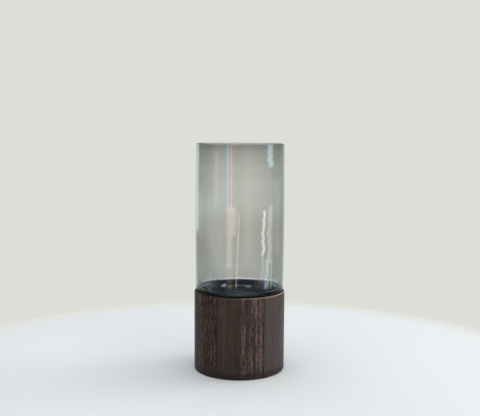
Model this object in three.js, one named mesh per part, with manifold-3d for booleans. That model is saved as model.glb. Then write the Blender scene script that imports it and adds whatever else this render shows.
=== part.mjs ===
// A cylinder vase of smoked glass that stands loose in a turned wooden base.
// Millimetres, +Z up. The origin is on the table, on the one axis that every piece is turned about.

import * as THREE from 'three';
import { mergeVertices } from 'three/addons/utils/BufferGeometryUtils.js';
import Module from 'manifold-3d';

// Wooden base: a block glued up from upright boards and turned to a drum
const BASE_RADIUS = 50;
const BLOCK_HEIGHT = 88;
const TOP_CHAMFER = 2.3;
const BOTTOM_CHAMFER = 1.2;
const BOARD_COUNT = 4;
const BOARD_THICKNESS = 25;
const MIDDLE_JOINT_X = 1.1;
const GLUE_LINE = 0.3;

// Felt disc let into the underside of the base
const FELT_THICKNESS = 2;
const FELT_PROUD = 0.5;
const FELT_WOOD_MARGIN = 8;
const FELT_CLEARANCE = 0.3;

// Black silicone ring that the glass sits on
const RING_THICKNESS = 1.6;
const RING_INSET = 0.2;
const RING_FOOT_GAP = 7;

// Glass vase: a tube with a slight belly, and a floor about as thick as the wall that curves up into it
const GLASS_HEIGHT = 159.9;
const GLASS_INSET = 1;
const BELLY_HEIGHT = 70;
const RIM_TUCK = 0.8;
const HEEL_TUCK = 0.6;
const WALL = 2.5;
const FLOOR = 2.3;
const RIM_ROUND = 0.9;
const HEEL_ROUND = 1;
const INSIDE_ROUND = 4;

// Foot of the glass: a blown step that drops into a socket in the wood and leaves a well inside
const FOOT_RADIUS = 16.3;
const FOOT_DROP = 3;
const FOOT_ROOT_ROUND = 0.7;
const FOOT_EDGE_ROUND = 0.9;
const WELL_LIP_ROUND = 0.5;
const WELL_FLOOR_ROUND = 0.5;

// Socket in the wood
const SOCKET_CLEARANCE = 0.8;
const SOCKET_FLOOR_GAP = 1.5;
const SOCKET_MOUTH_CHAMFER = 0.7;

// Fineness of the mesh
const TURN_STEPS = 72;
const ARC_STEPS = 3;

// Heights that follow from the sizes above
const blockBottomZ = FELT_PROUD;
const blockTopZ = blockBottomZ + BLOCK_HEIGHT;
const glassSeatZ = blockTopZ + RING_THICKNESS;
const glassFloorZ = glassSeatZ + FLOOR;
const glassBellyZ = glassSeatZ + BELLY_HEIGHT;
const glassRimZ = glassSeatZ + GLASS_HEIGHT;
const footBottomZ = glassSeatZ - FOOT_DROP;
const wellFloorZ = footBottomZ + FLOOR;
const socketFloorZ = footBottomZ - SOCKET_FLOOR_GAP;

// Radii that follow from the sizes above
const bellyRadius = BASE_RADIUS - GLASS_INSET;
const rimRadius = bellyRadius - RIM_TUCK;
const heelRadius = bellyRadius - HEEL_TUCK;
const wellRadius = FOOT_RADIUS - WALL;
const socketRadius = FOOT_RADIUS + SOCKET_CLEARANCE;
const ringBoreRadius = FOOT_RADIUS + FOOT_ROOT_ROUND + RING_FOOT_GAP;
const ringOuterRadius = BASE_RADIUS - TOP_CHAMFER - RING_INSET;
const recessRadius = BASE_RADIUS - FELT_WOOD_MARGIN;

const QUARTER = Math.PI / 2;

const wasm = await Module();
wasm.setup();

// Materials
const smokedGlass = new THREE.MeshStandardMaterial({
  color: 0x8f938c,
  roughness: 0.03,
  metalness: 0,
  transparent: true,
  opacity: 0.45,
});
const blackSilicone = new THREE.MeshStandardMaterial({ color: 0x0b0b0c, roughness: 0.6, metalness: 0 });
const darkFelt = new THREE.MeshStandardMaterial({ color: 0x1d1b1a, roughness: 1, metalness: 0 });
const boardColours = [0x43362d, 0x3b312b, 0x4c3f36, 0x4b4340];

// Turns an outline about Z and welds it into one closed skin.
// An outline runs outwards along its underside, up its outside and back in over its top.
function turned(outline) {
  const lathe = new THREE.LatheGeometry(outline, TURN_STEPS);
  lathe.rotateX(QUARTER);
  return welded(lathe);
}

// Merges the vertices that coincide and drops the triangles that collapse on the axis.
function welded(geometry) {
  geometry.deleteAttribute('normal');
  geometry.deleteAttribute('uv');
  const merged = mergeVertices(geometry);
  const corners = merged.index.array;
  const kept = [];
  for (let i = 0; i < corners.length; i += 3) {
    const [a, b, c] = corners.slice(i, i + 3);
    if (a !== b && b !== c && c !== a) kept.push(a, b, c);
  }
  merged.setIndex(kept);
  return merged;
}

function toSolid(geometry) {
  return new wasm.Manifold(new wasm.Mesh({
    numProp: 3,
    vertProperties: new Float32Array(geometry.attributes.position.array),
    triVerts: new Uint32Array(geometry.index.array),
  }));
}

function toGeometry(solid) {
  const mesh = solid.getMesh();
  const geometry = new THREE.BufferGeometry();
  geometry.setAttribute('position', new THREE.BufferAttribute(mesh.vertProperties, mesh.numProp));
  geometry.setIndex(new THREE.BufferAttribute(mesh.triVerts, 1));
  return geometry;
}

// Outline of the glass, from the middle of the foot's underside round to the middle of the well.
// The wall swells from heel to belly and draws in again to the rim, and the inside follows a wall away.
function glassOutline() {
  const heelTopZ = glassSeatZ + HEEL_ROUND;
  const insideHeelZ = glassFloorZ + INSIDE_ROUND;
  const shoulderZ = glassRimZ - RIM_ROUND;
  const insideHeelRadius = heelRadius - WALL;
  const insideRimRadius = rimRadius - WALL;
  const path = new THREE.Path();
  path.moveTo(0, footBottomZ);
  path.lineTo(FOOT_RADIUS - FOOT_EDGE_ROUND, footBottomZ);
  path.absarc(
    FOOT_RADIUS - FOOT_EDGE_ROUND, footBottomZ + FOOT_EDGE_ROUND,
    FOOT_EDGE_ROUND, -QUARTER, 0, false,
  );
  path.absarc(
    FOOT_RADIUS + FOOT_ROOT_ROUND, glassSeatZ - FOOT_ROOT_ROUND,
    FOOT_ROOT_ROUND, 2 * QUARTER, QUARTER, true,
  );
  path.absarc(heelRadius - HEEL_ROUND, heelTopZ, HEEL_ROUND, -QUARTER, 0, false);
  path.splineThru([
    new THREE.Vector2(bellyRadius, glassBellyZ),
    new THREE.Vector2(rimRadius, shoulderZ),
  ]);
  path.absarc(rimRadius - RIM_ROUND, shoulderZ, RIM_ROUND, 0, QUARTER, false);
  path.absarc(insideRimRadius + RIM_ROUND, shoulderZ, RIM_ROUND, QUARTER, 2 * QUARTER, false);
  path.splineThru([
    new THREE.Vector2(bellyRadius - WALL, glassBellyZ),
    new THREE.Vector2(insideHeelRadius, insideHeelZ),
  ]);
  path.absarc(insideHeelRadius - INSIDE_ROUND, insideHeelZ, INSIDE_ROUND, 0, -QUARTER, true);
  path.absarc(
    wellRadius + WELL_LIP_ROUND, glassFloorZ - WELL_LIP_ROUND,
    WELL_LIP_ROUND, QUARTER, 2 * QUARTER, false,
  );
  path.absarc(
    wellRadius - WELL_FLOOR_ROUND, wellFloorZ + WELL_FLOOR_ROUND,
    WELL_FLOOR_ROUND, 0, -QUARTER, true,
  );
  path.lineTo(0, wellFloorZ);
  return path.getPoints(ARC_STEPS);
}

// Outline of the whole turned block: the recess for the felt below, a chamfer at each edge
// and the socket for the foot of the glass above.
function blockOutline() {
  const recessTopZ = blockBottomZ + FELT_THICKNESS - FELT_PROUD;
  return [
    [0, recessTopZ],
    [recessRadius, recessTopZ],
    [recessRadius, blockBottomZ],
    [BASE_RADIUS - BOTTOM_CHAMFER, blockBottomZ],
    [BASE_RADIUS, blockBottomZ + BOTTOM_CHAMFER],
    [BASE_RADIUS, blockTopZ - TOP_CHAMFER],
    [BASE_RADIUS - TOP_CHAMFER, blockTopZ],
    [socketRadius + SOCKET_MOUTH_CHAMFER, blockTopZ],
    [socketRadius, blockTopZ - SOCKET_MOUTH_CHAMFER],
    [socketRadius, socketFloorZ],
    [0, socketFloorZ],
  ].map(([radius, z]) => new THREE.Vector2(radius, z));
}

// Cuts the block into its boards, side by side along X. The outer two take what is left of the drum.
function boardSolids() {
  const block = toSolid(turned(blockOutline()));
  const reach = 2 * (BASE_RADIUS + BLOCK_HEIGHT);
  const boards = [];
  for (let i = 0; i < BOARD_COUNT; i++) {
    const leftJointX = MIDDLE_JOINT_X + (i - BOARD_COUNT / 2) * BOARD_THICKNESS;
    const rightJointX = leftJointX + BOARD_THICKNESS;
    const leftX = i === 0 ? -reach : leftJointX + GLUE_LINE / 2;
    const rightX = i === BOARD_COUNT - 1 ? reach : rightJointX - GLUE_LINE / 2;
    const slab = new THREE.BoxGeometry(rightX - leftX, reach, reach);
    slab.translate((leftX + rightX) / 2, 0, 0);
    boards.push(block.intersect(toSolid(welded(slab))));
  }
  return boards;
}

// Flat ring between the wood and the glass. The foot passes through its bore into the socket.
function ringOutline() {
  return [
    [ringBoreRadius, blockTopZ],
    [ringOuterRadius, blockTopZ],
    [ringOuterRadius, glassSeatZ],
    [ringBoreRadius, glassSeatZ],
    [ringBoreRadius, blockTopZ],
  ].map(([radius, z]) => new THREE.Vector2(radius, z));
}

function feltOutline() {
  const feltRadius = recessRadius - FELT_CLEARANCE;
  return [
    [0, 0],
    [feltRadius, 0],
    [feltRadius, FELT_THICKNESS],
    [0, FELT_THICKNESS],
  ].map(([radius, z]) => new THREE.Vector2(radius, z));
}

const vase = new THREE.Group();

function addPiece(name, geometry, material) {
  const mesh = new THREE.Mesh(geometry, material);
  mesh.name = name;
  vase.add(mesh);
}

boardSolids().forEach((solid, i) => {
  const color = boardColours[i % boardColours.length];
  const wood = new THREE.MeshStandardMaterial({ color, roughness: 0.6, metalness: 0 });
  addPiece(`base_board_${i + 1}`, toGeometry(solid), wood);
});
addPiece('base_felt', turned(feltOutline()), darkFelt);
addPiece('seat_ring', turned(ringOutline()), blackSilicone);
addPiece('glass_vase', turned(glassOutline()), smokedGlass);

export default vase;
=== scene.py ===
# %% [markdown]
# # A smoked glass vase in a turned wooden base
#
# The vase is a blown glass cylinder that stands loose in a drum of dark wood, with a black ring
# between the two. Every piece is round about one upright axis, so nearly everything here is made
# the way a turner works: draw half of the outline, then turn it about the axis.
#
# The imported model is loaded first. It fixes where every piece is and how large it is, and the
# finer meshes made below take its places and sizes.

import math

import bmesh
import bpy
from mathutils import Euler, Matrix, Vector


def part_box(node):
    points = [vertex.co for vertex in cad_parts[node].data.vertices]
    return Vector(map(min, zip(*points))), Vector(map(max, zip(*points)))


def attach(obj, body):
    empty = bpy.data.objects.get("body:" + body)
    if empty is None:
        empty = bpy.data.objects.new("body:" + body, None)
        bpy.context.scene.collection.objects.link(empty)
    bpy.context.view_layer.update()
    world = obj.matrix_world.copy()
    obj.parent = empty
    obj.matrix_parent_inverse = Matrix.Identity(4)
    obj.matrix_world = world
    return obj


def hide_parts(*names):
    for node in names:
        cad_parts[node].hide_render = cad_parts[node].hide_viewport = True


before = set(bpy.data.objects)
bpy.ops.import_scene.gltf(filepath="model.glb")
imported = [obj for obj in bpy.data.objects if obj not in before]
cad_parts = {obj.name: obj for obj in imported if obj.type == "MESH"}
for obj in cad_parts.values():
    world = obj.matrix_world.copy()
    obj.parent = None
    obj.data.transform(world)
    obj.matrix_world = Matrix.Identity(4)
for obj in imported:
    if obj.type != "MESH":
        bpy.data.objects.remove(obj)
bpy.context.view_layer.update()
MM = 0.001

# %% [markdown]
# Sizes that other pieces have to meet are read from the frame. Small sizes that it doesn't state,
# such as the wall of the glass and the rounding of an edge, come later, each with its own piece.

# %% Sizes from the frame
foot_low, glass_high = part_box("glass_vase")
ring_low, ring_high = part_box("seat_ring")
felt_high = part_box("base_felt")[1]
board_names = sorted(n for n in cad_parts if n.startswith("base_board_"))
board_boxes = [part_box(n) for n in board_names]

BASE_RADIUS = max(high.x for _, high in board_boxes)
BLOCK_BOTTOM = min(low.z for low, _ in board_boxes)
BLOCK_TOP = ring_low.z
SEAT = ring_high.z
RIM = glass_high.z
FOOT_BOTTOM = foot_low.z
BELLY_RADIUS = glass_high.x
RING_RADIUS = ring_high.x
FELT_RADIUS = felt_high.x
FELT_TOP = felt_high.z
print("base radius, mm:", round(BASE_RADIUS / MM, 2), "glass seat, mm:", round(SEAT / MM, 2))

# %% [markdown]
# Node trees are long to write by hand, so one helper adds a node, sets its properties and fills
# its inputs. An input can be given a plain value or another node, which stands for that node's
# first output. Colours are written as the hex values a painter would pick from a screen, and one
# function turns them into the linear light values that Cycles works in.

# %% Helpers for nodes and colours
def add(tree, kind, inputs=None, **settings):
    node = tree.nodes.new(kind)
    for name, value in settings.items():
        setattr(node, name, value)
    for name, value in (inputs or {}).items():
        if isinstance(value, bpy.types.Node):
            value = value.outputs[0]
        if isinstance(value, bpy.types.NodeSocket):
            tree.links.new(value, node.inputs[name])
        else:
            node.inputs[name].default_value = value
    return node


def linear(hex_colour):
    channels = [int(hex_colour[i:i + 2], 16) / 255 for i in (1, 3, 5)]
    return [c / 12.92 if c <= 0.04045 else ((c + 0.055) / 1.055) ** 2.4 for c in channels] + [1.0]


def new_material(name):
    material = bpy.data.materials.new(name)
    material.use_nodes = True
    material.node_tree.nodes.clear()
    return material, material.node_tree


print("mid grey in linear light:", [round(c, 3) for c in linear("#808080")])

# %% [markdown]
# Many patterns below need a soft band: nothing at first, then full, then nothing again. Two Map
# Range nodes with a smooth step draw its two sides, and their product is the band.

# %% A soft band
def soft_band(tree, value, start, full, still_full, end):
    sides = [add(tree, "ShaderNodeMapRange", {"Value": value, "From Min": outer, "From Max": inner},
                 interpolation_type="SMOOTHSTEP")
             for outer, inner in ((start, full), (end, still_full))]
    return add(tree, "ShaderNodeMath", {0: sides[0], 1: sides[1]}, operation="MULTIPLY")


# %% [markdown]
# ## The camera
#
# The view is straight from the front and a little above the rim's height, through a lens somewhat
# longer than a normal one. Distance, height and tilt were worked out from the curve of the drum's
# lower edge, the thin ellipse of the rim and the way the drum narrows downwards. The camera is
# rolled by a third of a degree, because the vase leans that little to the right in the picture.

# %% Camera
IMAGE_WIDTH_PX = 480
SENSOR_WIDTH_MM = 36.0
FOCAL_PX = 768.5
CAMERA_DISTANCE = 841.8 * MM
CAMERA_HEIGHT = 265.6 * MM
CAMERA_TILT = math.radians(5.87)
CAMERA_ROLL = math.radians(0.35)

camera = bpy.data.objects.new("camera", bpy.data.cameras.new("camera"))
bpy.context.scene.collection.objects.link(camera)
camera.data.sensor_width = SENSOR_WIDTH_MM
camera.data.lens = FOCAL_PX * SENSOR_WIDTH_MM / IMAGE_WIDTH_PX
camera.location = (0, -CAMERA_DISTANCE, CAMERA_HEIGHT)
camera.rotation_euler = Euler((math.pi / 2 - CAMERA_TILT, 0, 0))
camera.rotation_euler.rotate_axis("Z", CAMERA_ROLL)
bpy.context.scene.camera = camera
print("lens, mm:", round(camera.data.lens, 1))

# %% [markdown]
# ## Turning an outline
#
# A turned piece is half an outline swept round the axis. Blender's Spin and Screw could do it,
# but a small Geometry Nodes tree does it too and stays adjustable: it lays out a grid with one
# row for each step of the turn and one column for each point of the outline, moves every grid
# point to its place on the round, and welds the seam and the points on the axis. The object's own
# mesh is the outline, so one tree serves every piece.
#
# Blown glass is never quite even. The tree can push points inwards by a slow noise, which is what
# makes reflections waver on the real thing. Wood, ring and felt leave that at nothing. The noise's
# fourth direction follows the outline, so the two skins of a wall waver apart.

# %% Wavering of a blown wall
WAVER_FADE_IN = 20.0 * MM


def push_inwards(tree, given, drawn, placed, share_of_outline):
    height = add(tree, "ShaderNodeSeparateXYZ", {0: drawn})
    scale = add(tree, "ShaderNodeMath", {0: 1.0, 1: given.outputs["Wave size"]}, operation="DIVIDE")
    noise = add(tree, "ShaderNodeTexNoise", {
        "Vector": placed, "W": share_of_outline, "Scale": scale, "Detail": 1.0},
        noise_dimensions="4D")
    inward = add(tree, "ShaderNodeMath", {0: noise, 1: 1.0}, operation="SUBTRACT")
    above = add(tree, "ShaderNodeMath", {0: height.outputs["Z"], 1: given.outputs["Wavy above"]},
                operation="SUBTRACT")
    fade = add(tree, "ShaderNodeMapRange", {
        "Value": above, "From Min": 0.0, "From Max": WAVER_FADE_IN},
        interpolation_type="SMOOTHSTEP")
    push = add(tree, "ShaderNodeMath", {0: inward, 1: given.outputs["Waviness"]},
               operation="MULTIPLY")
    push = add(tree, "ShaderNodeMath", {0: push, 1: fade}, operation="MULTIPLY")
    flat = add(tree, "ShaderNodeVectorMath", {0: placed, 1: (1.0, 1.0, 0.0)}, operation="MULTIPLY")
    outward = add(tree, "ShaderNodeVectorMath", {0: flat}, operation="NORMALIZE")
    return add(tree, "ShaderNodeVectorMath", {0: outward, "Scale": push}, operation="SCALE")


# %% [markdown]
# The tree itself counts along the grid: dividing a point's number by the number of points in the
# outline gives its row, and what is left over gives its place in the outline.

# %% The turning tree
WELD_DISTANCE = 1e-6
TREE_INPUTS = [("Steps", "Int"), ("Waviness", "Float"), ("Wave size", "Float"),
               ("Wavy above", "Float"), ("Material", "Material")]


def turning_tree():
    tree = bpy.data.node_groups.new("turn_outline", "GeometryNodeTree")
    sockets = tree.interface
    sockets.new_socket("Geometry", in_out="INPUT", socket_type="NodeSocketGeometry")
    for name, kind in TREE_INPUTS:
        sockets.new_socket(name, in_out="INPUT", socket_type="NodeSocket" + kind)
    sockets.new_socket("Geometry", in_out="OUTPUT", socket_type="NodeSocketGeometry")

    given = add(tree, "NodeGroupInput")
    outline = given.outputs["Geometry"]
    steps = given.outputs["Steps"]
    points = add(tree, "GeometryNodeAttributeDomainSize", {"Geometry": outline})
    rows = add(tree, "ShaderNodeMath", {0: steps, 1: 1.0}, operation="ADD")
    grid = add(tree, "GeometryNodeMeshGrid", {"Vertices X": rows, "Vertices Y": points})

    index = add(tree, "GeometryNodeInputIndex")
    row = add(tree, "FunctionNodeIntegerMath", {0: index, 1: points}, operation="DIVIDE")
    column = add(tree, "FunctionNodeIntegerMath", {0: index, 1: points}, operation="MODULO")
    turn = add(tree, "ShaderNodeMath", {0: row, 1: steps}, operation="DIVIDE")
    angle = add(tree, "ShaderNodeMath", {0: turn, 1: math.tau}, operation="MULTIPLY")
    share_of_outline = add(tree, "ShaderNodeMath", {0: column, 1: points}, operation="DIVIDE")

    here = add(tree, "GeometryNodeInputPosition")
    drawn = add(tree, "GeometryNodeSampleIndex", {"Geometry": outline, "Index": column},
                data_type="FLOAT_VECTOR", domain="POINT")
    tree.links.new(here.outputs[0], drawn.inputs["Value"])
    placed = add(tree, "ShaderNodeVectorRotate", {"Vector": drawn, "Angle": angle},
                 rotation_type="Z_AXIS")
    offset = push_inwards(tree, given, drawn, placed, share_of_outline)

    moved = add(tree, "GeometryNodeSetPosition",
                {"Geometry": grid, "Position": placed, "Offset": offset})
    closed = add(tree, "GeometryNodeMergeByDistance",
                 {"Geometry": moved, "Distance": WELD_DISTANCE})
    smooth = add(tree, "GeometryNodeSetShadeSmooth", {"Geometry": closed, "Shade Smooth": True})
    real = add(tree, "GeometryNodeRealizeInstances", {"Geometry": smooth})
    painted = add(tree, "GeometryNodeSetMaterial",
                  {"Geometry": real, "Material": given.outputs["Material"]})
    add(tree, "NodeGroupOutput", {0: painted})
    return tree


TURNING = turning_tree()
print("turning tree has", len(TURNING.nodes), "nodes")

# %% [markdown]
# To use the tree, an outline becomes an object of bare edges, the tree runs on it as a modifier,
# and the result is kept as a plain mesh. The outline runs outwards along the underside, up the
# outside and back in, so that the faces come out facing outwards.

# %% Turn a piece
TURN_STEPS = 192


def turned_mesh(name, outline, material, waviness=0.0, wave_size=20.0 * MM, wavy_above=0.0):
    mesh = bpy.data.meshes.new(name)
    mesh.from_pydata([(r, 0.0, z) for r, z in outline],
                     [(i, i + 1) for i in range(len(outline) - 1)], [])
    drawing = bpy.data.objects.new(name, mesh)
    bpy.context.scene.collection.objects.link(drawing)
    modifier = drawing.modifiers.new("turned", "NODES")
    modifier.node_group = TURNING
    values = {"Steps": TURN_STEPS, "Waviness": waviness, "Wave size": wave_size,
              "Wavy above": wavy_above, "Material": material}
    for item in TURNING.interface.items_tree:
        if item.in_out == "INPUT" and item.name in values:
            modifier[item.identifier] = values[item.name]
    depsgraph = bpy.context.evaluated_depsgraph_get()
    result = bpy.data.meshes.new_from_object(drawing.evaluated_get(depsgraph))
    bpy.data.objects.remove(drawing)
    return result


def arc(centre_r, centre_z, radius, start, end, steps=12):
    angles = [math.radians(start + (end - start) * i / steps) for i in range(steps + 1)]
    return [(centre_r + radius * math.cos(a), centre_z + radius * math.sin(a)) for a in angles]


# %% [markdown]
# Every finished piece is shown in the same way: its creases are marked by angle, and the frame is
# told which body it rides on and which plain node it stands for.

# %% Show a piece
def show(name, mesh, body, replaced, sharp_degrees=40.0):
    piece = bpy.data.objects.new(name, mesh)
    bpy.context.scene.collection.objects.link(piece)
    mesh.set_sharp_from_angle(angle=math.radians(sharp_degrees))
    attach(piece, body)
    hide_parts(replaced)
    print(name, "has", len(mesh.polygons), "faces")


# %% [markdown]
# ## The glass
#
# The real vase is blown into a mould: an even wall, a floor about as thick as the wall, a rounded
# heel, a rim that is cut and polished, and a step below the floor that drops into the wood. The
# same mesh has an outer and an inner skin, because glass only bends light properly when both
# sides are there.
#
# The wall swells by less than a millimetre between heel and rim. A spline through three points
# draws that swell, and the inner skin uses the same spline one wall thickness in.
#
# Smooth shading averages the directions of neighbouring faces, and glass bends light by that
# average. A wide flat next to a rounding would act as a curved mirror, so each flat gets one more
# point close to either end, which holds it flat up to its edge. The ends of the swell get one too.
# The side of the trough is an eased line, which starts and ends level, and points of the outline
# that fall together are kept only once.

# %% Curves for the outline
FLAT_HOLD = 0.25 * MM
SHORTEST_FLAT = 4.0 * MM


def swell(start, middle, end, steps=40, hold=0.003):
    knots = [start, start, middle, end, end]
    shares = [0.0, hold] + [i / steps for i in range(1, steps)] + [1 - hold, 1.0]
    line = []
    for k in range(2):
        a, b, c, d = knots[k:k + 4]
        for t in shares:
            line.append(tuple(
                0.5 * (2 * b[j] + (c[j] - a[j]) * t
                       + (2 * a[j] - 5 * b[j] + 4 * c[j] - d[j]) * t ** 2
                       + (3 * b[j] - a[j] - 3 * c[j] + d[j]) * t ** 3)
                for j in range(2)))
    return line


def eased(start, end, steps=12):
    line = []
    for i in range(steps + 1):
        t = i / steps
        line.append((start[0] + (end[0] - start[0]) * t,
                     start[1] + (end[1] - start[1]) * t * t * (3 - 2 * t)))
    return line


def without_repeats(line):
    kept = [line[0]]
    for point in line[1:]:
        if math.dist(point, kept[-1]) > WELD_DISTANCE / 10:
            kept.append(point)
    return kept


def held_flat(line):
    held = [line[0]]
    for start, end in zip(line, line[1:]):
        length = math.dist(start, end)
        if length > SHORTEST_FLAT:
            for share in (FLAT_HOLD / length, 1 - FLAT_HOLD / length):
                held.append(tuple(a + (b - a) * share for a, b in zip(start, end)))
        held.append(end)
    return held


# %% [markdown]
# The outline starts in the middle of the foot's underside. It goes out round the foot, up into
# the corner above it, out to the heel, up the swell to the rim, and then down inside: the trough
# at the wall, the flat of the floor and the well in the foot.
#
# Light that runs through glass shows the smallest things. So the rim and the inside corner are
# rounded a little less than in the plain model, and the trough, which it doesn't have, is added.

# %% Outline of the glass
WALL = 2.5 * MM
FLOOR = 2.3 * MM
RIM_TUCK = 0.8 * MM
HEEL_TUCK = 0.6 * MM
BELLY_HEIGHT = 70.0 * MM
RIM_ROUND = 0.6 * MM
HEEL_ROUND = 1.0 * MM
INSIDE_ROUND = 3.0 * MM
TROUGH_DEPTH = 1.0 * MM
TROUGH_WIDTH = 5.0 * MM
FOOT_RADIUS = 16.3 * MM
FOOT_ROOT_ROUND = 0.7 * MM
FOOT_EDGE_ROUND = 0.9 * MM
WELL_LIP_ROUND = 0.5 * MM
WELL_FLOOR_ROUND = 0.5 * MM


def glass_outline():
    heel_radius = BELLY_RADIUS - HEEL_TUCK
    rim_radius = BELLY_RADIUS - RIM_TUCK
    well_radius = FOOT_RADIUS - WALL
    floor_z = SEAT + FLOOR
    well_z = FOOT_BOTTOM + FLOOR
    heel_z = SEAT + HEEL_ROUND
    trough_z = floor_z - TROUGH_DEPTH
    inside_z = trough_z + INSIDE_ROUND
    trough_radius = heel_radius - WALL - INSIDE_ROUND
    shoulder_z = RIM - RIM_ROUND
    belly_z = SEAT + BELLY_HEIGHT
    line = [(0.0, FOOT_BOTTOM)]
    line += arc(FOOT_RADIUS - FOOT_EDGE_ROUND, FOOT_BOTTOM + FOOT_EDGE_ROUND,
                FOOT_EDGE_ROUND, -90, 0)
    line += arc(FOOT_RADIUS + FOOT_ROOT_ROUND, SEAT - FOOT_ROOT_ROUND, FOOT_ROOT_ROUND, 180, 90)
    line += arc(heel_radius - HEEL_ROUND, heel_z, HEEL_ROUND, -90, 0)
    line += swell((heel_radius, heel_z), (BELLY_RADIUS, belly_z), (rim_radius, shoulder_z))
    line += arc(rim_radius - RIM_ROUND, shoulder_z, RIM_ROUND, 0, 90)
    line += arc(rim_radius - WALL + RIM_ROUND, shoulder_z, RIM_ROUND, 90, 180)
    line += swell((rim_radius - WALL, shoulder_z), (BELLY_RADIUS - WALL, belly_z),
                  (heel_radius - WALL, inside_z))
    line += arc(trough_radius, inside_z, INSIDE_ROUND, 0, -90)
    line += eased((trough_radius, trough_z), (trough_radius - TROUGH_WIDTH, floor_z))
    line += arc(well_radius + WELL_LIP_ROUND, floor_z - WELL_LIP_ROUND, WELL_LIP_ROUND, 90, 180)
    line += arc(well_radius - WELL_FLOOR_ROUND, well_z + WELL_FLOOR_ROUND,
                WELL_FLOOR_ROUND, 0, -90)
    line.append((0.0, well_z))
    return held_flat(without_repeats(line))


GLASS_LINE = glass_outline()
print("outline of the glass has", len(GLASS_LINE), "points")

# %% [markdown]
# ### Smoked soda-lime glass
#
# Soda-lime glass bends light with an IOR of about 1.52 and is clear inside, with the smoke as a
# grey tint all through it. A colour on the surface would tint every wall alike, thick or thin, so
# the tint goes into the volume: the light path through the glass then decides how dark it looks,
# which darkens the sides of the cylinder and the thick corner of the floor as on the real one.
#
# The glass is darkest at the rim, palest a third of the way down and a little darker again
# towards the heel. A very pale colour on the surface does that, by one ramp over the height. A
# second colour is painted shade at the sides of the cylinder: it darkens them a little more from
# wherever they are seen, where a Layer Weight node finds walls seen at a slant.

# %% Glass material
TINT_BY_HEIGHT = [
    (0.00, "#efeeef"), (0.13, "#f5f5f6"), (0.28, "#f2f1ef"), (0.43, "#f2f1ee"),
    (0.60, "#fdfdfc"), (0.71, "#fefdfd"), (0.82, "#f9f8f7"), (0.89, "#f0f0ef"),
    (0.94, "#e7e7e6"), (0.98, "#d7d7d6"),
]
SIDE_PAINTED_SHADE = "#e9efee"
SLANT_FROM, SLANT_FULL = 0.06, 0.36
SMOKE_TINT = "#b4bab1"
SMOKE_DENSITY = 118.0

smoked_glass, tree = new_material("smoked_soda_lime_glass_blown")
place = add(tree, "ShaderNodeTexCoord")
parts = add(tree, "ShaderNodeSeparateXYZ", {0: place.outputs["Object"]})
level = add(tree, "ShaderNodeMapRange", {
    "Value": parts.outputs["Z"], "From Min": SEAT, "From Max": RIM})
tint = add(tree, "ShaderNodeValToRGB", {"Fac": level})
tint.color_ramp.interpolation = "EASE"
stops = tint.color_ramp.elements
stops.remove(stops[1])
stops[0].color = linear(TINT_BY_HEIGHT[0][1])
for position, hex_colour in TINT_BY_HEIGHT[1:]:
    stops.new(position).color = linear(hex_colour)
# Painted shade: walls seen at a slant, at the sides of the cylinder, are darkened in the surface
# colour.
facing = add(tree, "ShaderNodeLayerWeight", {"Blend": 0.5})
slant = add(tree, "ShaderNodeMapRange", {
    "Value": facing.outputs["Facing"], "From Min": SLANT_FROM, "From Max": SLANT_FULL},
    interpolation_type="SMOOTHSTEP")
tint = add(tree, "ShaderNodeMix", {"Factor": slant, 6: tint, 7: linear(SIDE_PAINTED_SHADE)},
           data_type="RGBA", blend_type="MULTIPLY")
shader = add(tree, "ShaderNodeBsdfPrincipled", {
    "Base Color": tint.outputs[2], "Roughness": 0.0, "IOR": 1.52, "Transmission Weight": 1.0})
smoke = add(tree, "ShaderNodeVolumeAbsorption", {
    "Color": linear(SMOKE_TINT), "Density": SMOKE_DENSITY})
add(tree, "ShaderNodeOutputMaterial", {"Surface": shader, "Volume": smoke})
print("tint has", len(stops), "steps over", round((RIM - SEAT) / MM, 1), "mm")

# %% [markdown]
# The wall wavers by a few hundredths of a millimetre, over lengths of two or three centimetres.
# That starts above the floor, so that the heel stays true to its seat.

# %% Glass vase
GLASS_WAVINESS = 0.06 * MM
GLASS_WAVE_SIZE = 26.0 * MM

show("smoked_glass_vase",
     turned_mesh("smoked_glass_vase", GLASS_LINE, smoked_glass, waviness=GLASS_WAVINESS,
                 wave_size=GLASS_WAVE_SIZE, wavy_above=SEAT + 2 * FLOOR),
     "vase", "glass_vase", sharp_degrees=60.0)

# %% [markdown]
# ## The black ring
#
# Between glass and wood lies a flat ring of black silicone. It keeps glass off wood and stops the
# vase from sliding. Moulded silicone is matt and so black that only its edge shows, as a thin
# line all round, so its shader keeps hardly any gloss. Its upper face lies against the glass and
# is painted a lighter blue-grey than the edge: painted light, standing in for the light that
# reaches it through the glass.
#
# Two surfaces in exactly the same place leave a renderer unsure which one light meets first, and
# real glass touches rubber only at a few points, with air between. So the ring ends a hair under
# the glass, and it starts a hair over the wood that it turns on.

# %% Silicone
LIT_TOP_FROM = 0.2 * MM
LIT_TOP_FULL = 0.05 * MM
MATT_BLACK = "#080808"
LIT_TOP_GREY = "#64727e"

silicone, tree = new_material("black_silicone_moulded")
place = add(tree, "ShaderNodeTexCoord")
skin = add(tree, "ShaderNodeTexNoise", {
    "Vector": place.outputs["Object"], "Scale": 1 / (0.8 * MM), "Detail": 2.0})
bump = add(tree, "ShaderNodeBump", {"Height": skin, "Strength": 0.2, "Distance": 0.05 * MM})
parts = add(tree, "ShaderNodeSeparateXYZ", {0: place.outputs["Object"]})
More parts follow.
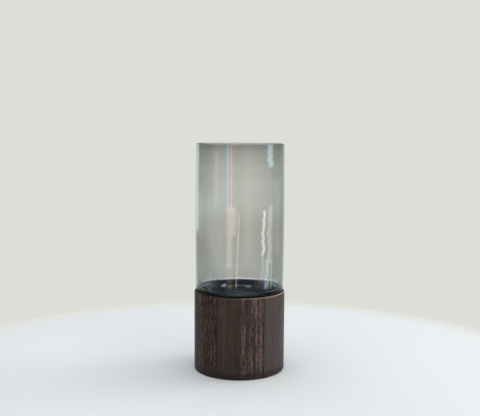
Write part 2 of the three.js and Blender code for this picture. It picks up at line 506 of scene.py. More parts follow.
# Painted light: the face under the glass is a lighter blue-grey than the black edge.
lit_top = add(tree, "ShaderNodeMapRange", {
    "Value": parts.outputs["Z"], "From Min": SEAT - LIT_TOP_FROM, "From Max": SEAT - LIT_TOP_FULL})
rubber = add(tree, "ShaderNodeMix", {
    "Factor": lit_top, 6: linear(MATT_BLACK), 7: linear(LIT_TOP_GREY)}, data_type="RGBA")
shader = add(tree, "ShaderNodeBsdfPrincipled", {
    "Base Color": rubber.outputs[2], "Roughness": 0.85, "IOR": 1.41, "Specular IOR Level": 0.12,
    "Normal": bump})
add(tree, "ShaderNodeOutputMaterial", {"Surface": shader})

# %% Ring
RING_ROUND = 0.35 * MM
RING_FOOT_GAP = 7.0 * MM
AIR_GAP = 0.03 * MM
SLIDING_GAP = 0.01 * MM

ring_bore = FOOT_RADIUS + FOOT_ROOT_ROUND + RING_FOOT_GAP
ring_bottom, ring_top = BLOCK_TOP + SLIDING_GAP, SEAT - AIR_GAP
ring_line = [(ring_bore, ring_bottom)]
ring_line += arc(RING_RADIUS - RING_ROUND, ring_bottom + RING_ROUND, RING_ROUND, -90, 0, 4)
ring_line += arc(RING_RADIUS - RING_ROUND, ring_top - RING_ROUND, RING_ROUND, 0, 90, 4)
ring_line += [(ring_bore, ring_top), (ring_bore, ring_bottom)]
show("black_seat_ring", turned_mesh("black_seat_ring", ring_line, silicone),
     "seat", "seat_ring")

# %% [markdown]
# ## The felt under the base
#
# Pressed wool felt is a mat of crimped fibres about 0.03 mm thick. What the eye sees is clumps of
# them, a millimetre or so across, and a soft glow at a flat angle, which is what sheen gives.

# %% Felt
FELT_EDGE_ROUND = 0.6 * MM

felt, tree = new_material("wool_felt_pressed")
place = add(tree, "ShaderNodeTexCoord")
clumps = add(tree, "ShaderNodeTexNoise", {
    "Vector": place.outputs["Object"], "Scale": 1 / (1.4 * MM), "Detail": 6.0, "Roughness": 0.7})
wool = add(tree, "ShaderNodeMix", {
    "Factor": clumps, 6: linear("#141211"), 7: linear("#35312e")}, data_type="RGBA")
bump = add(tree, "ShaderNodeBump", {"Height": clumps, "Strength": 0.6, "Distance": 0.3 * MM})
shader = add(tree, "ShaderNodeBsdfPrincipled", {
    "Base Color": wool.outputs[2], "Roughness": 0.95, "Sheen Weight": 0.4,
    "Sheen Roughness": 0.5, "Normal": bump})
add(tree, "ShaderNodeOutputMaterial", {"Surface": shader})

felt_line = [(0.0, 0.0)]
felt_line += arc(FELT_RADIUS - FELT_EDGE_ROUND, FELT_EDGE_ROUND, FELT_EDGE_ROUND, -90, 0, 5)
felt_line += [(FELT_RADIUS, FELT_TOP), (0.0, FELT_TOP)]
show("felt_disc", turned_mesh("felt_disc", felt_line, felt), "base", "base_felt")

# %% [markdown]
# ## The wooden base
#
# The drum is glued up from four upright boards of dark-stained hardwood and then turned, so the
# grain runs up and down and each board shows its own figure. Turning cuts through the growth
# rings wherever it meets them. A texture in three dimensions does the same by itself, because the
# drum's surface is simply a cut through it.
#
# Each board's texture is built up in the order in which the eye reads wood: the sway of the
# grain, broad bands, streaks between them, single strong streaks, and the fine dark pores. The
# sizes in it are millimetres across the grain and along it.

# %% Grain patterns
def grain_noise(tree, place, across, along, seed, detail=2.0):
    longways = (1 / across, 1 / across, 1 / along)
    stretched = add(tree, "ShaderNodeVectorMath", {0: place, 1: longways}, operation="MULTIPLY")
    return add(tree, "ShaderNodeTexNoise", {
        "Vector": stretched, "W": seed, "Scale": 1.0, "Detail": detail, "Roughness": 0.6},
        noise_dimensions="4D")


def swayed(tree, place, across, along, amount, seed):
    noise = grain_noise(tree, place, across, along, seed, 1.0)
    centred = add(tree, "ShaderNodeVectorMath", {0: noise.outputs["Color"], 1: (0.5, 0.5, 0.5)},
                  operation="SUBTRACT")
    sideways = add(tree, "ShaderNodeVectorMath", {0: centred, 1: (amount, amount, 0.0)},
                   operation="MULTIPLY")
    return add(tree, "ShaderNodeVectorMath", {0: place, 1: sideways}, operation="ADD")


def layered(tree, total, layers):
    for pattern, strength in layers:
        total = add(tree, "ShaderNodeMath", {0: pattern, 1: strength, 2: total},
                    operation="MULTIPLY_ADD")
    return total


# %% [markdown]
# Single streaks are listed one by one, each with its distance from the axis in millimetres, half
# its width and how much lighter or darker it is. One colour ramp laid across the board holds them
# all. The ramp reads the swayed place, so the streaks waver with the rest of the grain.

# %% Single streaks
def streak_ramp(tree, x_mm, left_mm, right_mm, streaks):
    share = add(tree, "ShaderNodeMapRange", {
        "Value": x_mm, "From Min": left_mm, "From Max": right_mm})
    ramp = add(tree, "ShaderNodeValToRGB", {"Fac": share})
    stops = ramp.color_ramp.elements
    stops[0].color = stops[1].color = (0.5, 0.5, 0.5, 1.0)
    for middle, half, strength in streaks:
        for place, change in ((middle - half, 0.0), (middle, strength), (middle + half, 0.0)):
            level = 0.5 + change
            stop = stops.new((place - left_mm) / (right_mm - left_mm))
            stop.color = (level, level, level, 1.0)
    return ramp


# %% [markdown]
# All of these add up to one tone between dark and light. The fine layers stand in a fixed
# proportion to each other, and a board's streakiness scales them together. Real streaks come and
# go along the grain, so a slow noise breaks up the single ones.

# %% Tone of a board
FINE_SHARE = 1.4
HAIR_SHARE = 0.5
MOTTLE_SHARE = 0.6


def board_tone(tree, mm, bent, hair, left, right, seed, streaks, bands, streakiness):
    band_width, band_strength = bands
    broad = grain_noise(tree, bent, band_width, 160.0, seed + 2, 1.0)
    fine = grain_noise(tree, bent, 1.5, 34.0, seed + 3, 3.0)
    mottle = grain_noise(tree, mm, 1.1, 2.6, seed + 9, 1.0)
    breaks = grain_noise(tree, mm, 3.0, 16.0, seed + 5, 1.0)
    unbroken = add(tree, "ShaderNodeMapRange", {
        "Value": breaks, "From Min": 0.3, "From Max": 0.52}, interpolation_type="SMOOTHSTEP")

    across = add(tree, "ShaderNodeSeparateXYZ", {0: bent})
    single = streak_ramp(tree, across.outputs["X"], left, right, streaks)
    centred = add(tree, "ShaderNodeMath", {0: single, 1: 0.5}, operation="SUBTRACT")
    single = add(tree, "ShaderNodeMath", {0: centred, 1: unbroken}, operation="MULTIPLY")

    strengths = [band_strength, streakiness * FINE_SHARE, streakiness * HAIR_SHARE,
                 streakiness * MOTTLE_SHARE]
    mean = 0.5 - 0.5 * sum(strengths)
    tone = add(tree, "ShaderNodeMath", {0: mean, 1: single}, operation="ADD")
    return layered(tree, tone, zip([broad, fine, hair, mottle], strengths))


# %% [markdown]
# The board's finish is a dark oil stain, which goes on in coats over the bare colour. Each coat
# is a colour with a mask that says where it covers. The stain stays darker in a thin line at each
# glued side. The wood is darker and a little blue in a band at the foot, and right at the bottom
# it shows a thin reddish line. Along the rounded top edge a pale tan coat is a painted highlight,
# which grows stronger towards the right, the side of the side softbox. It is worn off the
# rounded top edge, more and more towards the right, where lighter wood shows through.
#
# An outer board is glued on one side only. The line for its round side is put far outside it.
# The numbers of the masks are millimetres, as all places in this material are.

# %% Stain, darker foot and painted highlight
TOP_ROUND = 2.3 * MM
SEAM_WIDTH = 0.9
SEAM_COVER = 0.75
FOOT_BAND = 5.5
FOOT_FADE = 3.5
FOOT_LINE = 1.4
FOOT_LINE_FADE = 0.4
FOOT_COVER = 0.7
HIGHLIGHT_BAND = (0.9, 1.3, 1.7, 2.1)
HIGHLIGHT_FROM, HIGHLIGHT_TO = -8.0, 50.0
SEAM_STAIN = "#16110f"
FOOT_DARK = "#28282c"
FOOT_LINE_REDDISH = "#56332a"
HIGHLIGHT_TAN = "#a8957f"
JOINTS = [low.x / MM for low, _ in board_boxes] + [board_boxes[-1][1].x / MM]
print("board sides, mm:", [round(x, 1) for x in JOINTS])


def glued_sides(tree, x_mm, left, right):
    glued_left = left if left > JOINTS[0] else 2 * left
    glued_right = right if right < JOINTS[-1] else 2 * right
    from_left = add(tree, "ShaderNodeMath", {0: x_mm, 1: glued_left}, operation="SUBTRACT")
    to_right = add(tree, "ShaderNodeMath", {0: glued_right, 1: x_mm}, operation="SUBTRACT")
    to_side = add(tree, "ShaderNodeMath", {0: from_left, 1: to_right}, operation="MINIMUM")
    return add(tree, "ShaderNodeMapRange", {
        "Value": to_side, "From Min": 0.0, "From Max": SEAM_WIDTH,
        "To Min": SEAM_COVER, "To Max": 0.0}, interpolation_type="SMOOTHSTEP")


# Painted highlight: a pale band along the rounded top edge, stronger towards the right.
def painted_top_highlight(tree, x_mm, z_mm):
    up_edge = add(tree, "ShaderNodeMath", {0: z_mm, 1: (BLOCK_TOP - TOP_ROUND) / MM},
                  operation="SUBTRACT")
    band = soft_band(tree, up_edge, *HIGHLIGHT_BAND)
    rightwards = add(tree, "ShaderNodeMapRange", {
        "Value": x_mm, "From Min": HIGHLIGHT_FROM, "From Max": HIGHLIGHT_TO})
    return add(tree, "ShaderNodeMath", {0: band, 1: rightwards}, operation="MULTIPLY")


def coats_and_highlight(tree, mm, left, right):
    at = add(tree, "ShaderNodeSeparateXYZ", {0: mm})
    foot, foot_line = [
        add(tree, "ShaderNodeMapRange", {
            "Value": at.outputs["Z"], "From Min": start, "From Max": start + fade,
            "To Min": FOOT_COVER, "To Max": 0.0}, interpolation_type="SMOOTHSTEP")
        for start, fade in ((FOOT_BAND, FOOT_FADE), (FOOT_LINE, FOOT_LINE_FADE))]
    return [(glued_sides(tree, at.outputs["X"], left, right), SEAM_STAIN),
            (foot, FOOT_DARK), (foot_line, FOOT_LINE_REDDISH),
            (painted_top_highlight(tree, at.outputs["X"], at.outputs["Z"]), HIGHLIGHT_TAN)]


# %% [markdown]
# The pores are real hollows, so they go into the bump as well as the colour. Real ones are 0.2 mm
# wide; they are drawn about three times as wide, so that the picture can show them. Flecks are
# the short pale dashes of a flamed board.

# %% Pores and flecks
PORE_DARK = "#14110f"
FLECK_LIGHT = "#7a5338"


def pore_pattern(tree, bent, seed):
    dash = grain_noise(tree, bent, 0.75, 8.0, seed + 6, 1.0)
    return add(tree, "ShaderNodeMapRange", {"Value": dash, "From Min": 0.58, "From Max": 0.68},
               interpolation_type="SMOOTHSTEP")


def fleck_pattern(tree, bent, seed, flecks):
    spot = grain_noise(tree, bent, 1.7, 5.5, seed + 7, 1.0)
    fleck = add(tree, "ShaderNodeMapRange", {
        "Value": spot, "From Min": 0.66 - 0.1 * flecks, "From Max": 0.76 - 0.1 * flecks},
        interpolation_type="SMOOTHSTEP")
    return add(tree, "ShaderNodeMath", {0: fleck, 1: flecks}, operation="MULTIPLY")


# %% [markdown]
# The shader puts it all together: the grain swayed in three sizes, the tone turned into colour by
# a ramp from dark to light, the coats one after another, and pores and hair-fine grain in the
# bump. Oiled wood is satin, with hardly any gloss, and a little rougher in the pores.

# %% Wood material
def stained_wood(name, left, right, seed, sway, ripple, streaks, colours,
                 bands=(3.0, 0.3), streakiness=0.5, pores=0.6, flecks=0.0):
    material, tree = new_material(name)
    place = add(tree, "ShaderNodeTexCoord")
    mm = add(tree, "ShaderNodeVectorMath", {0: place.outputs["Object"], "Scale": 1 / MM},
             operation="SCALE")
    bent = swayed(tree, mm, 15.0, 44.0, sway, seed)
    bent = swayed(tree, bent, 4.5, 12.0, ripple, seed + 1)
    bent = swayed(tree, bent, 1.8, 5.0, 0.55 * ripple, seed + 8)
    hair = grain_noise(tree, bent, 0.7, 16.0, seed + 4, 2.0)
    tone = board_tone(tree, mm, bent, hair, left, right, seed, streaks, bands, streakiness)

    dark, middle, light = colours
    colour = add(tree, "ShaderNodeValToRGB", {"Fac": tone})
    stops = colour.color_ramp.elements
    stops[0].position, stops[0].color = 0.15, linear(dark)
    stops[1].position, stops[1].color = 0.85, linear(light)
    stops.new(0.5).color = linear(middle)

    pore = pore_pattern(tree, bent, seed)
    pore_cover = add(tree, "ShaderNodeMath", {0: pore, 1: pores}, operation="MULTIPLY")
    coats = [(fleck_pattern(tree, bent, seed, flecks), FLECK_LIGHT), (pore_cover, PORE_DARK)]
    for cover, hex_colour in coats + coats_and_highlight(tree, mm, left, right):
        coated = add(tree, "ShaderNodeMix", {"Factor": cover, 6: colour, 7: linear(hex_colour)},
                     data_type="RGBA")
        colour = coated.outputs[2]

    height = add(tree, "ShaderNodeMath", {0: hair, 1: 0.6}, operation="MULTIPLY")
    height = layered(tree, height, [(pore, -1.0)])
    bump = add(tree, "ShaderNodeBump", {"Height": height, "Strength": 0.3, "Distance": 0.15 * MM})
    shader = add(tree, "ShaderNodeBsdfPrincipled", {
        "Base Color": colour, "Roughness": layered(tree, 0.52, [(pore, 0.2)]), "IOR": 1.5,
        "Specular IOR Level": 0.14, "Normal": bump})
    add(tree, "ShaderNodeOutputMaterial", {"Surface": shader})
    return material


# %% [markdown]
# Four boards, from left to right: one with flamed grain and lighter flecks, a quiet one, one with
# strong wavering stripes, and a quiet one that is lighter and greyer. Sway and ripple say how far
# the grain strays in its long and its short waves, in millimetres. Bands are the width and the
# strength of the broad ones, and the rest are strengths.

# %% Four woods
woods = [
    stained_wood("hardwood_oil_stained_flamed", JOINTS[0], JOINTS[1],
                 seed=1.0, sway=9.0, ripple=5.0,
                 streaks=[(-47, 1.6, -0.12), (-41, 1.4, 0.12), (-33.0, 1.0, -0.15),
                          (-30.8, 0.9, 0.35), (-28.6, 0.8, -0.25)],
                 colours=("#161312", "#352a25", "#6f5143"),
                 bands=(4.0, 0.3), streakiness=1.4, pores=0.9, flecks=0.45),
    stained_wood("hardwood_oil_stained_quiet", JOINTS[1], JOINTS[2],
                 seed=2.0, sway=4.0, ripple=1.2,
                 streaks=[(-17, 4.0, 0.12), (-4.5, 3.0, -0.06)],
                 colours=("#2b2420", "#43372f", "#5d4c40"),
                 bands=(6.0, 0.25), streakiness=0.55, pores=0.4),
    stained_wood("hardwood_oil_stained_striped", JOINTS[2], JOINTS[3],
                 seed=3.0, sway=2.2, ripple=2.2,
                 streaks=[(3.1, 1.05, 0.15), (5.0, 1.0, 0.22), (8.0, 1.8, -0.15),
                          (12.6, 2.0, 0.12), (16.0, 0.7, -0.15), (18.4, 0.95, 0.34),
                          (20.4, 0.75, -0.08), (22.4, 1.0, 0.24)],
                 colours=("#1e1918", "#51433c", "#92746a"),
                 bands=(3.0, 0.2), streakiness=0.9, pores=0.7),
    stained_wood("hardwood_oil_stained_greyed", JOINTS[3], JOINTS[4],
                 seed=4.0, sway=3.0, ripple=0.9,
                 # The lighter streak at 30.5 mm and the darker one at 44 mm are painted light and
                 # shade: they even out the side softbox's light across this board.
                 streaks=[(30.5, 5.0, 0.14), (44, 4.0, -0.16)],
                 colours=("#3d3432", "#544946", "#6a5c55"),
                 bands=(5.0, 0.12), streakiness=0.55, pores=0.3),
]
print("woods:", [w.name for w in woods])

# %% [markdown]
# The whole block is turned once, with the socket for the foot of the glass above and the recess
# for the felt below. The top edge is rounded over and the bottom edge is a small chamfer with
# softened arrises, because a sander never leaves a knife edge.

# %% Outline of the block
BOTTOM_CHAMFER = 1.2 * MM
CHAMFER_DEGREES = 45
ARRIS = 1.2 * MM
SOCKET_CLEARANCE = 0.8 * MM
SOCKET_FLOOR_GAP = 1.5 * MM
SOCKET_MOUTH_CHAMFER = 0.7 * MM
FELT_CLEARANCE = 0.3 * MM


def chamfered(radius, edge_z, chamfer, upward):
    tangent = ARRIS * math.tan(math.radians(CHAMFER_DEGREES / 2))
    turned = CHAMFER_DEGREES * upward
    side = arc(radius - ARRIS, edge_z - upward * (chamfer + tangent), ARRIS, 0, turned, 3)
    end = arc(radius - chamfer - tangent, edge_z - upward * ARRIS, ARRIS, turned, 90 * upward, 3)
    return side + end


def block_outline():
    socket = FOOT_RADIUS + SOCKET_CLEARANCE
    recess = FELT_RADIUS + FELT_CLEARANCE
    socket_floor = FOOT_BOTTOM - SOCKET_FLOOR_GAP
    line = [(0.0, FELT_TOP), (recess, FELT_TOP), (recess, BLOCK_BOTTOM)]
    line += reversed(chamfered(BASE_RADIUS, BLOCK_BOTTOM, BOTTOM_CHAMFER, -1))
    line += arc(BASE_RADIUS - TOP_ROUND, BLOCK_TOP - TOP_ROUND, TOP_ROUND, 0, 90, 8)
    line += [(socket + SOCKET_MOUTH_CHAMFER, BLOCK_TOP),
             (socket, BLOCK_TOP - SOCKET_MOUTH_CHAMFER),
             (socket, socket_floor), (0.0, socket_floor)]
    return line


BLOCK_LINE = block_outline()
print("outline of the block has", len(BLOCK_LINE), "points")

# %% [markdown]
# The block is then sawn into its boards, as if the glue were undone, and only a hair of the glue
# line is left between them. A saw cut is a plane, which Blender calls a bisect. It leaves the
# block open, so the cut is filled with one flat face, which is then split into triangles.

# %% Saw out the boards
GLUE_LINE = 0.3 * MM
JOINT_GAP = 0.03 * MM


def sawn(block, name, left, right):
    shape = bmesh.new()
    shape.from_mesh(block)
    for x, normal in ((left, (-1, 0, 0)), (right, (1, 0, 0))):
        everything = shape.verts[:] + shape.edges[:] + shape.faces[:]
        cut = bmesh.ops.bisect_plane(shape, geom=everything, plane_co=(x, 0, 0),
                                     plane_no=normal, clear_outer=True)
        edges = [e for e in cut["geom_cut"] if isinstance(e, bmesh.types.BMEdge)]
        if edges:
            bmesh.ops.edgeloop_fill(shape, edges=edges)
    bmesh.ops.triangulate(shape, faces=[f for f in shape.faces if len(f.verts) > 4])
    bmesh.ops.recalc_face_normals(shape, faces=shape.faces[:])
    mesh = bpy.data.meshes.new(name)
    shape.to_mesh(mesh)
    shape.free()
    return mesh


block = turned_mesh("block", BLOCK_LINE, woods[0])
board_slots = ["wood_flamed", "wood_plain", "wood_striped", "wood_greyed"]
closed_by = (GLUE_LINE - JOINT_GAP) / 2
for node, (low, high), wood, slot in zip(board_names, board_boxes, woods, board_slots):
    name = node.replace("base", "wooden")
    mesh = sawn(block, name, low.x - closed_by, high.x + closed_by)
    mesh.materials.append(wood)
    show(name, mesh, "base", node, sharp_degrees=30.0)

# %% [markdown]
# ## Floor and surroundings
#
# Glass has hardly any look of its own: it shows what is behind it and what is reflected in it.
# So the surroundings are as much a part of the picture as the vase. The background is a plain
# pale one. The floor is a disc of pale stone that fades out a little way behind the vase, so that
# no horizon line runs across the glass. Honing leaves stone smooth but with hardly any gloss.

# %% Floor
FLOOR_RADIUS = 600.0 * MM
FLOOR_SOLID = 350.0 * MM
FLOOR_GONE = 410.0 * MM
FLOOR_FORWARD = 70.0 * MM
floor_mesh = bpy.data.meshes.new("floor")
shape = bmesh.new()
bmesh.ops.create_circle(shape, cap_ends=True, radius=FLOOR_RADIUS, segments=128)
bmesh.ops.translate(shape, vec=(0, -FLOOR_FORWARD, 0), verts=shape.verts)
shape.to_mesh(floor_mesh)
shape.free()
floor = bpy.data.objects.new("floor", floor_mesh)
bpy.context.scene.collection.objects.link(floor)

pale, tree = new_material("pale_stone_honed")
place = add(tree, "ShaderNodeTexCoord")
from_middle = add(tree, "ShaderNodeVectorMath", {
    0: place.outputs["Object"], 1: (0.0, FLOOR_FORWARD, 0.0)}, operation="ADD")
away = add(tree, "ShaderNodeVectorMath", {0: from_middle}, operation="LENGTH")
fade = add(tree, "ShaderNodeMapRange", {
    "Value": away.outputs["Value"], "From Min": FLOOR_SOLID, "From Max": FLOOR_GONE},
    interpolation_type="SMOOTHERSTEP")
stone = add(tree, "ShaderNodeBsdfPrincipled", {
    "Base Color": linear("#dfe3e3"), "Roughness": 0.5, "Specular IOR Level": 0.15})
clear = add(tree, "ShaderNodeBsdfTransparent")
shader = add(tree, "ShaderNodeMixShader", {0: fade, 1: stone, 2: clear})
add(tree, "ShaderNodeOutputMaterial", {"Surface": shader})
floor_mesh.materials.append(pale)
print("floor fades out by", round(FLOOR_GONE / MM), "mm")

# %% [markdown]
# ### Walls of the studio
#
# The glass takes its brightness from the wall behind it, which is pale and even. Whatever is seen
# directly, or straight through the glass, is that plain wall from every side. A Light Path node
# tells it apart: on such a ray, nothing has reflected the light yet.
#
# Reflections see a studio with one bright wall. A colour ramp read from front to back makes it
# bright at the back and lets it fall off to the sides and towards the front, so the edges of the
# cylinder, which reflect the sides, go darker. Below the horizon the front half is dimmer still.
# Above ten degrees all is dim and bluish: the floor of the glass mirrors that part at a flat
# angle, so it stays as dark as the ring below it.
#
# The direction of a ray has a length of one, so the heights below are sines of an angle, and -1
# and 1 are straight to the front and straight to the back.

# %% Brightness of the walls
WALL_TOP_DEGREES = 10.0
DIM_FROM_DEGREES = 11.2
DIM_LEVEL = 0.09
LOW_FROM, LOW_TO = -0.06, -0.18
LOW_LEVEL = 0.35
BACK_FROM, BACK_TO = -0.2, 0.5
FRONT_TO_BACK = [(0.0, 0.32), (0.35, 0.36), (0.6, 0.42), (0.85, 0.6), (0.93, 0.8), (0.97, 1.0)]

world = bpy.data.worlds.new("studio")
bpy.context.scene.world = world
world.use_nodes = True
world.node_tree.nodes.clear()
tree = world.node_tree
direction = add(tree, "ShaderNodeTexCoord")
parts = add(tree, "ShaderNodeSeparateXYZ", {0: direction.outputs["Generated"]})
towards_back = add(tree, "ShaderNodeMapRange", {
    "Value": parts.outputs["Y"], "From Min": -1.0, "From Max": 1.0})
walls = add(tree, "ShaderNodeValToRGB", {"Fac": towards_back})
stops = walls.color_ramp.elements
stops.remove(stops[1])
stops[0].color = [FRONT_TO_BACK[0][1]] * 3 + [1.0]
for position, level in FRONT_TO_BACK[1:]:
    stops.new(position).color = [level] * 3 + [1.0]

low = add(tree, "ShaderNodeMapRange", {
    "Value": parts.outputs["Z"], "From Min": LOW_TO, "From Max": LOW_FROM,
    "To Min": LOW_LEVEL, "To Max": 1.0})
at_back = add(tree, "ShaderNodeMapRange", {
    "Value": parts.outputs["Y"], "From Min": BACK_FROM, "From Max": BACK_TO},
    interpolation_type="SMOOTHSTEP")
low_in_front = add(tree, "ShaderNodeMath", {0: low, 1: at_back}, operation="MAXIMUM")
upper = add(tree, "ShaderNodeMapRange", {
    "Value": parts.outputs["Z"], "From Min": math.sin(math.radians(WALL_TOP_DEGREES)),
    "From Max": math.sin(math.radians(DIM_FROM_DEGREES)), "To Min": 1.0, "To Max": DIM_LEVEL},
    interpolation_type="SMOOTHSTEP")
lit = add(tree, "ShaderNodeMath", {0: walls, 1: upper}, operation="MULTIPLY")
lit = add(tree, "ShaderNodeMath", {0: lit, 1: low_in_front}, operation="MULTIPLY")

ray = add(tree, "ShaderNodeLightPath")
reflections = add(tree, "ShaderNodeMath", {
    0: ray.outputs["Glossy Depth"], 1: ray.outputs["Diffuse Depth"]}, operation="ADD")
straight = add(tree, "ShaderNodeMath", {0: reflections, 1: 0.5}, operation="LESS_THAN")
lit = add(tree, "ShaderNodeMath", {0: lit, 1: straight}, operation="MAXIMUM")
print("walls are pale up to", WALL_TOP_DEGREES, "degrees")

# %% [markdown]
# The blue of the dim part comes in with the height above the horizon, and in front also with the
# depth below it. The plain wall that is seen directly never has it.

# %% Colour of the walls
BLUE_FROM, BLUE_TO = 0.10, 0.19
FRONT_FULL, FRONT_END = -0.2, 0.1

turned_up = add(tree, "ShaderNodeMapRange", {
    "Value": parts.outputs["Y"], "From Min": FRONT_FULL, "From Max": FRONT_END,
    "To Min": -1.0, "To Max": 0.0})
below = add(tree, "ShaderNodeMath", {0: parts.outputs["Z"], 1: turned_up}, operation="MULTIPLY")
steep = add(tree, "ShaderNodeMath", {0: parts.outputs["Z"], 1: below}, operation="MAXIMUM")
blue = add(tree, "ShaderNodeMapRange", {
    "Value": steep, "From Min": BLUE_FROM, "From Max": BLUE_TO}, interpolation_type="SMOOTHSTEP")
blue = add(tree, "ShaderNodeMath", {0: blue, 1: straight}, operation="SUBTRACT", use_clamp=True)
wall = add(tree, "ShaderNodeMix", {"Factor": blue, 6: linear("#deded9"), 7: linear("#b4cdf0")},
           data_type="RGBA")
background = add(tree, "ShaderNodeBackground", {"Color": wall.outputs[2], "Strength": lit})
add(tree, "ShaderNodeOutputWorld", {"Surface": background})
print("world has", len(tree.nodes), "nodes")

# %% [markdown]
# ### Softboxes
#
# One large softbox hangs overhead and lights the floor and every edge that faces up. A second
# stands to the right and makes that side of the drum the lighter one. Places and sizes are in
# metres.

# %% Softboxes
def softbox(name, place, aim, width, height, power, colour):
    lamp = bpy.data.objects.new(name, bpy.data.lights.new(name, "AREA"))
    bpy.context.scene.collection.objects.link(lamp)
    lamp.data.shape = "RECTANGLE"
    lamp.data.size = width
    lamp.data.size_y = height
    lamp.data.energy = power
    lamp.data.color = linear(colour)[:3]
    lamp.location = place
    lamp.rotation_euler = (Vector(aim) - Vector(place)).to_track_quat("-Z", "Y").to_euler()
    lamp.visible_camera = False
    print(name, "gives", power, "W")


softbox("overhead_softbox", (0.0, 0.0, 1.25), (0, 0, 0), 1.6, 1.6, 23.0, "#fbfcff")
softbox("side_softbox", (1.3, 0.35, 0.85), (0, 0, 0.1), 0.9, 1.1, 9.0, "#fffaf2")

# %% [markdown]
# ### What the glass reflects
#
# A photographer places tall narrow cards and softboxes round a bottle or a vase to draw streaks
# down the glass. Here one open cylinder round the vase holds them all. Only reflections see it,
# so it neither shows in the picture nor lights the rest. Each streak is told where it should
# appear across the glass, from -1 at the left edge to 1 at the right, and the law of reflection
# then gives the direction that it has to come from.

# %% Reflection cards
CARD_RADIUS = 450.0 * MM
CARD_TOP = 262.0 * MM
CARD_LIFT = 1.0 * MM
CARDS_HIDDEN_FROM = ("camera", "diffuse", "transmission", "shadow", "volume_scatter")


def seen_from(across_glass):
    facing = math.asin(across_glass)
    return 2 * facing - math.asin(BELLY_RADIUS * across_glass / CARD_RADIUS)


card_mesh = bpy.data.meshes.new("reflection_cards")
shape = bmesh.new()
bmesh.ops.create_cone(shape, cap_ends=False, segments=96, radius1=CARD_RADIUS,
                      radius2=CARD_RADIUS, depth=CARD_TOP)
bmesh.ops.translate(shape, vec=(0, 0, CARD_TOP / 2 + CARD_LIFT), verts=shape.verts)
shape.to_mesh(card_mesh)
shape.free()
cards = bpy.data.objects.new("reflection_cards", card_mesh)
bpy.context.scene.collection.objects.link(cards)
for kind in CARDS_HIDDEN_FROM:
    setattr(cards, "visible_" + kind, False)
print("middle of the glass reflects", round(math.degrees(seen_from(0.0))), "degrees,",
      "halfway to its edge", round(math.degrees(seen_from(0.5))), "degrees")

# %% [markdown]
# The list gives each streak's place and width across the glass, its lowest and highest
# millimetre on the cards, its slant as the shift across the glass over 100 mm of height, its
# colour and its strength. Bright narrow ones are the streaks. Broad faint ones are the sheen
# between them, and the lowest ones show in the foot of the glass.

# %% Streaks
STREAKS = [
    (-0.275, 0.040, 145, 262, -0.005, "#31b9ff", 6.5),
    (-0.198, 0.045, 145, 262, -0.01, "#ff7c3f", 5.5),
    (-0.19, 0.20, 98, 150, 0.02, "#fff2d8", 3.7),
    (-0.23, 0.12, 38, 98, 0.02, "#fff2d8", 3.2),
    (-0.23, 0.13, 3, 38, 0.0, "#d8b898", 1.6),
    (-0.045, 0.03, 5, 140, 0.045, "#fff2d8", 3.4),
    (0.17, 0.20, 40, 262, 0.0, "#fff0dc", 0.6),
    (0.525, 0.06, 62, 143, 0.05, "#fff4e8", 8.0),
    (0.51, 0.06, 20, 64, 0.02, "#fff4e8", 2.2),
    (0.66, 0.11, 212, 256, 0.0, "#d4ecff", 6.0),
    (0.66, 0.09, 150, 208, 0.0, "#d4e4f0", 0.9),
    (0.66, 0.10, 46, 150, 0.02, "#e6f4ff", 3.8),
    (0.61, 0.09, 3, 50, 0.0, "#e6f4ff", 4.2),
    (0.71, 0.03, 3, 50, 0.0, "#e4ffb8", 3.0),
    (-0.53, 0.10, 150, 240, 0.0, "#e4f0ff", 1.2),
    (-0.948, 0.05, 98, 262, 0.0, "#eef4ff", 1.0),
    (-0.78, 0.30, 98, 165, 0.0, "#f4f8ff", 1.0),
    (-0.55, 0.34, 55, 165, 0.0, "#e2edff", 1.2),
    (0.80, 0.16, 55, 190, 0.0, "#f4f8ff", 0.7),
    (0.0, 1.0, 60, 262, 0.0, "#ffffff", 0.25),
    (0.22, 0.18, 70, 150, 0.0, "#fff4e4", 0.4),
    (0.38, 0.22, 3, 28, 0.0, "#d09878", 0.5),
    (0.66, 0.42, 6, 20, 0.0, "#cfe0f0", 1.6),
    (-0.64, 0.30, 6, 16, 0.0, "#d4e0f0", 1.1),
    (-0.35, 0.09, 7, 12, 0.6, "#cbe2ff", 7.0),
    (0.19, 0.12, 7, 11, 0.1, "#b8f0e4", 3.0),
]
print(len(STREAKS), "streaks")

# %% [markdown]
# Blown walls bend a reflection to and fro along its height. A slow noise over the height does that
# here, hardly at the left and more and more towards the right. Broad cards fade out softly at
# their ends, and narrow ones end within a few millimetres. A card's slant counts double, because
# a reflection turns twice as far as the glass that it is seen on.

# %% Light of the cards
WAVER_LENGTH = 13.0 * MM
WAVER_LEFT, WAVER_RIGHT = 0.03, 0.3
WAVER_FROM, WAVER_TO = 0.2, 1.0
SOFT_SHARE = 0.35
BROAD = 0.25
NARROW_FADE_MM, NARROW_FADE_SHARE = 4.0, 0.25
BROAD_FADE_MM, BROAD_FADE_SHARE = 25.0, 0.4
SLANT_HEIGHT = 100.0 * MM

material, tree = new_material("softbox_cards")
place = add(tree, "ShaderNodeTexCoord")
parts = add(tree, "ShaderNodeSeparateXYZ", {0: place.outputs["Object"]})
ahead = add(tree, "ShaderNodeMath", {0: parts.outputs["Y"], 1: -1.0}, operation="MULTIPLY")
turn = add(tree, "ShaderNodeMath", {0: parts.outputs["X"], 1: ahead}, operation="ARCTAN2")
height = parts.outputs["Z"]

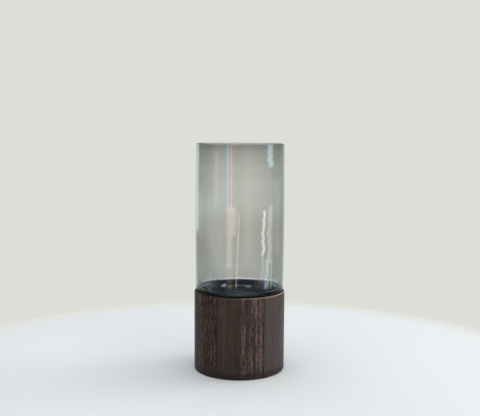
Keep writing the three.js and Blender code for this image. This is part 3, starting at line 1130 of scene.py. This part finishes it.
waves = add(tree, "ShaderNodeMath", {0: height, 1: 1 / WAVER_LENGTH}, operation="MULTIPLY")
noise = add(tree, "ShaderNodeTexNoise", {"W": waves, "Scale": 1.0, "Detail": 2.0},
            noise_dimensions="1D")
shift = add(tree, "ShaderNodeMath", {0: noise, 1: 0.5}, operation="SUBTRACT")
amount = add(tree, "ShaderNodeMapRange", {
    "Value": turn, "From Min": WAVER_FROM, "From Max": WAVER_TO,
    "To Min": WAVER_LEFT, "To Max": WAVER_RIGHT})
wavering = add(tree, "ShaderNodeMath", {0: shift, 1: amount, 2: turn}, operation="MULTIPLY_ADD")

light = (0.0, 0.0, 0.0)
for across, width, low_mm, high_mm, slant, hex_colour, strength in STREAKS:
    left, right = seen_from(across - width / 2), seen_from(across + width / 2)
    soft = (right - left) * SOFT_SHARE
    fade_mm = min(NARROW_FADE_MM, NARROW_FADE_SHARE * (high_mm - low_mm))
    if width >= BROAD:
        fade_mm = min(BROAD_FADE_MM, BROAD_FADE_SHARE * (high_mm - low_mm))
    above_middle = add(tree, "ShaderNodeMath", {0: height, 1: 0.5 * (low_mm + high_mm) * MM},
                       operation="SUBTRACT")
    upright = add(tree, "ShaderNodeMath", {
        0: above_middle, 1: -2 * slant / SLANT_HEIGHT, 2: wavering}, operation="MULTIPLY_ADD")
    over_width = soft_band(tree, upright, left - soft, left + soft, right - soft, right + soft)
    over_height = soft_band(tree, height, (low_mm - fade_mm) * MM, (low_mm + fade_mm) * MM,
                            (high_mm - fade_mm) * MM, (high_mm + fade_mm) * MM)
    shape = add(tree, "ShaderNodeMath", {0: over_width, 1: over_height}, operation="MULTIPLY")
    glow = add(tree, "ShaderNodeMath", {0: shape, 1: strength}, operation="MULTIPLY")
    colour = add(tree, "ShaderNodeVectorMath", {0: linear(hex_colour)[:3], "Scale": glow},
                 operation="SCALE")
    light = add(tree, "ShaderNodeVectorMath", {0: light, 1: colour}, operation="ADD")
glow = add(tree, "ShaderNodeEmission", {"Color": light, "Strength": 1.0})
print("cards have", len(tree.nodes), "nodes")

# %% [markdown]
# Between the streaks the cylinder is clear, so reflections see the wall behind it. Only a low
# band in front holds back the wall, which keeps the foot of the glass as dark as the real one.

# %% Dark band on the cards
DARK_FROM, DARK_FROM_SOFT = 9.0 * MM, 2.0 * MM
DARK_TO, DARK_TO_SOFT = 34.0 * MM, 8.0 * MM
FRONT_TURN, FRONT_TURN_END = 1.2, 1.4

in_front = soft_band(tree, turn, -FRONT_TURN_END, -FRONT_TURN, FRONT_TURN, FRONT_TURN_END)
low_down = soft_band(tree, height, DARK_FROM - DARK_FROM_SOFT, DARK_FROM + DARK_FROM_SOFT,
                     DARK_TO - DARK_TO_SOFT, DARK_TO + DARK_TO_SOFT)
held_back = add(tree, "ShaderNodeMath", {0: in_front, 1: low_down}, operation="MULTIPLY")
open_share = add(tree, "ShaderNodeMath", {0: 1.0, 1: held_back}, operation="SUBTRACT")
through = add(tree, "ShaderNodeBsdfTransparent", {"Color": open_share})
both = add(tree, "ShaderNodeAddShader", {0: through, 1: glow})
add(tree, "ShaderNodeOutputMaterial", {"Surface": both})
card_mesh.materials.append(material)
print("dark band from", round(DARK_FROM / MM), "to", round(DARK_TO / MM), "mm")

# %% [markdown]
# The picture shows the colours as they were mixed, without the look of a film.

# %% Colours of the picture
bpy.context.scene.view_settings.view_transform = "Standard"
